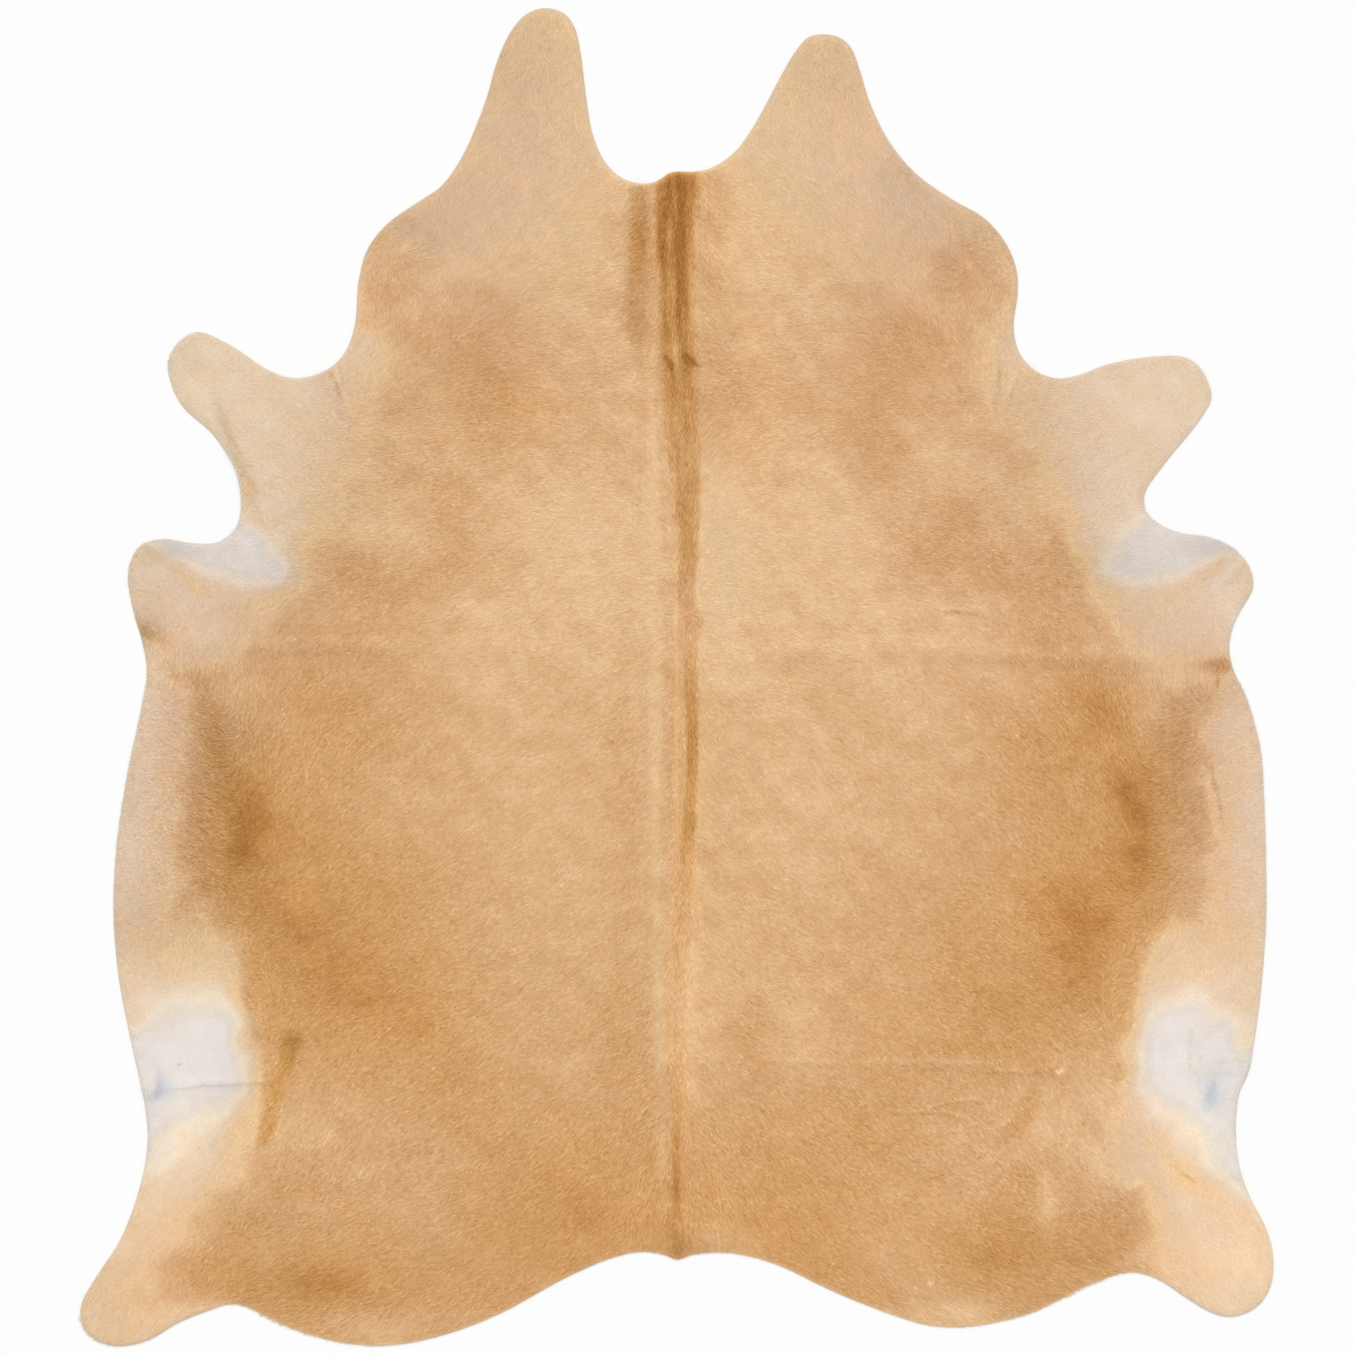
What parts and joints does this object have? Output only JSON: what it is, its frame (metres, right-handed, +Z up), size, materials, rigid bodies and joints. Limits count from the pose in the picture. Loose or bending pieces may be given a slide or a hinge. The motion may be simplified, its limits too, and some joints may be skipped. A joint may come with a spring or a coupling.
{
  "type": "cowhide rug",
  "caption": "Whole tanned cowhide laid flat as a floor rug, with neck flaps, legs and a short tail point in its outline.",
  "frame": {"origin": "middle of the hide's length and width, on the floor", "axes": "+Y along the spine towards the neck, +X to the right seen from above with the neck up, +Z up on the hair side"},
  "size_m": [2.0513, 2.2999, 0.0084],
  "materials": {
    "hide": "short flat-lying tan hair, matt with a soft sheen; cream and white at the legs, belly and groins"
  },
  "bodies": {
    "root": {"hide": "hide"}
  },
  "joints": []
}
